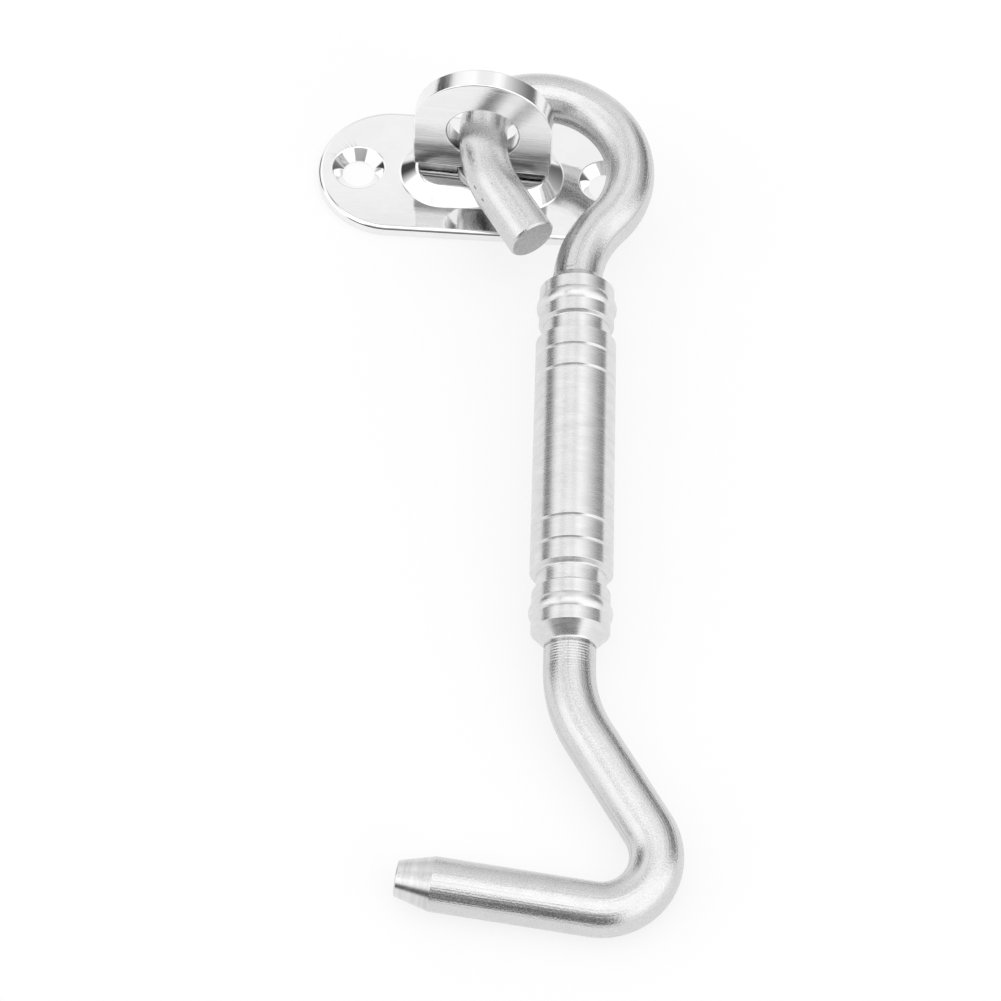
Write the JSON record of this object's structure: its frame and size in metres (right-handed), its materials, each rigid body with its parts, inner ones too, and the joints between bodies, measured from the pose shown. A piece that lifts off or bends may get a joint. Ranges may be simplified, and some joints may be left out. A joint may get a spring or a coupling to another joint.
{
  "type": "hook and eye latch",
  "caption": "Cabin hook: a bent steel bar with a turned grip and a coned latch finger, whose loop runs through an eye that swivels on a screwed oval plate.",
  "frame": {"origin": "middle of the plate's back face, midway between the two screw holes", "axes": "+Z out of the plate's face, X along the plate through both screw holes, the hook reaches towards -Y"},
  "size_m": [0.064, 0.1504, 0.0271],
  "materials": {
    "polished_plate": "polished",
    "brushed_tab": "brushed",
    "turned_stem": "turned",
    "satin_bar": "satin",
    "turned_grip": "turned"
  },
  "bodies": {
    "base": {"base_plate": "polished_plate"},
    "eye": {"eye_tab": "brushed_tab", "swivel_stem": "turned_stem", "retaining_washer": "turned_stem"},
    "hook": {"hook_rod": "satin_bar", "grip_barrel": "turned_grip"}
  },
  "joints": [
    {"name": "eye_swivel", "type": "hinge", "parent": "base", "child": "eye", "pos_m": [0, 0, 0], "axis": [0, 0, 1], "continuous": true},
    {"name": "hook_swing", "type": "hinge", "parent": "eye", "child": "hook", "pos_m": [0, 0, 0.013], "axis": [0.0211, -0.9975, -0.0677], "range_deg": [0, 179]}
  ]
}
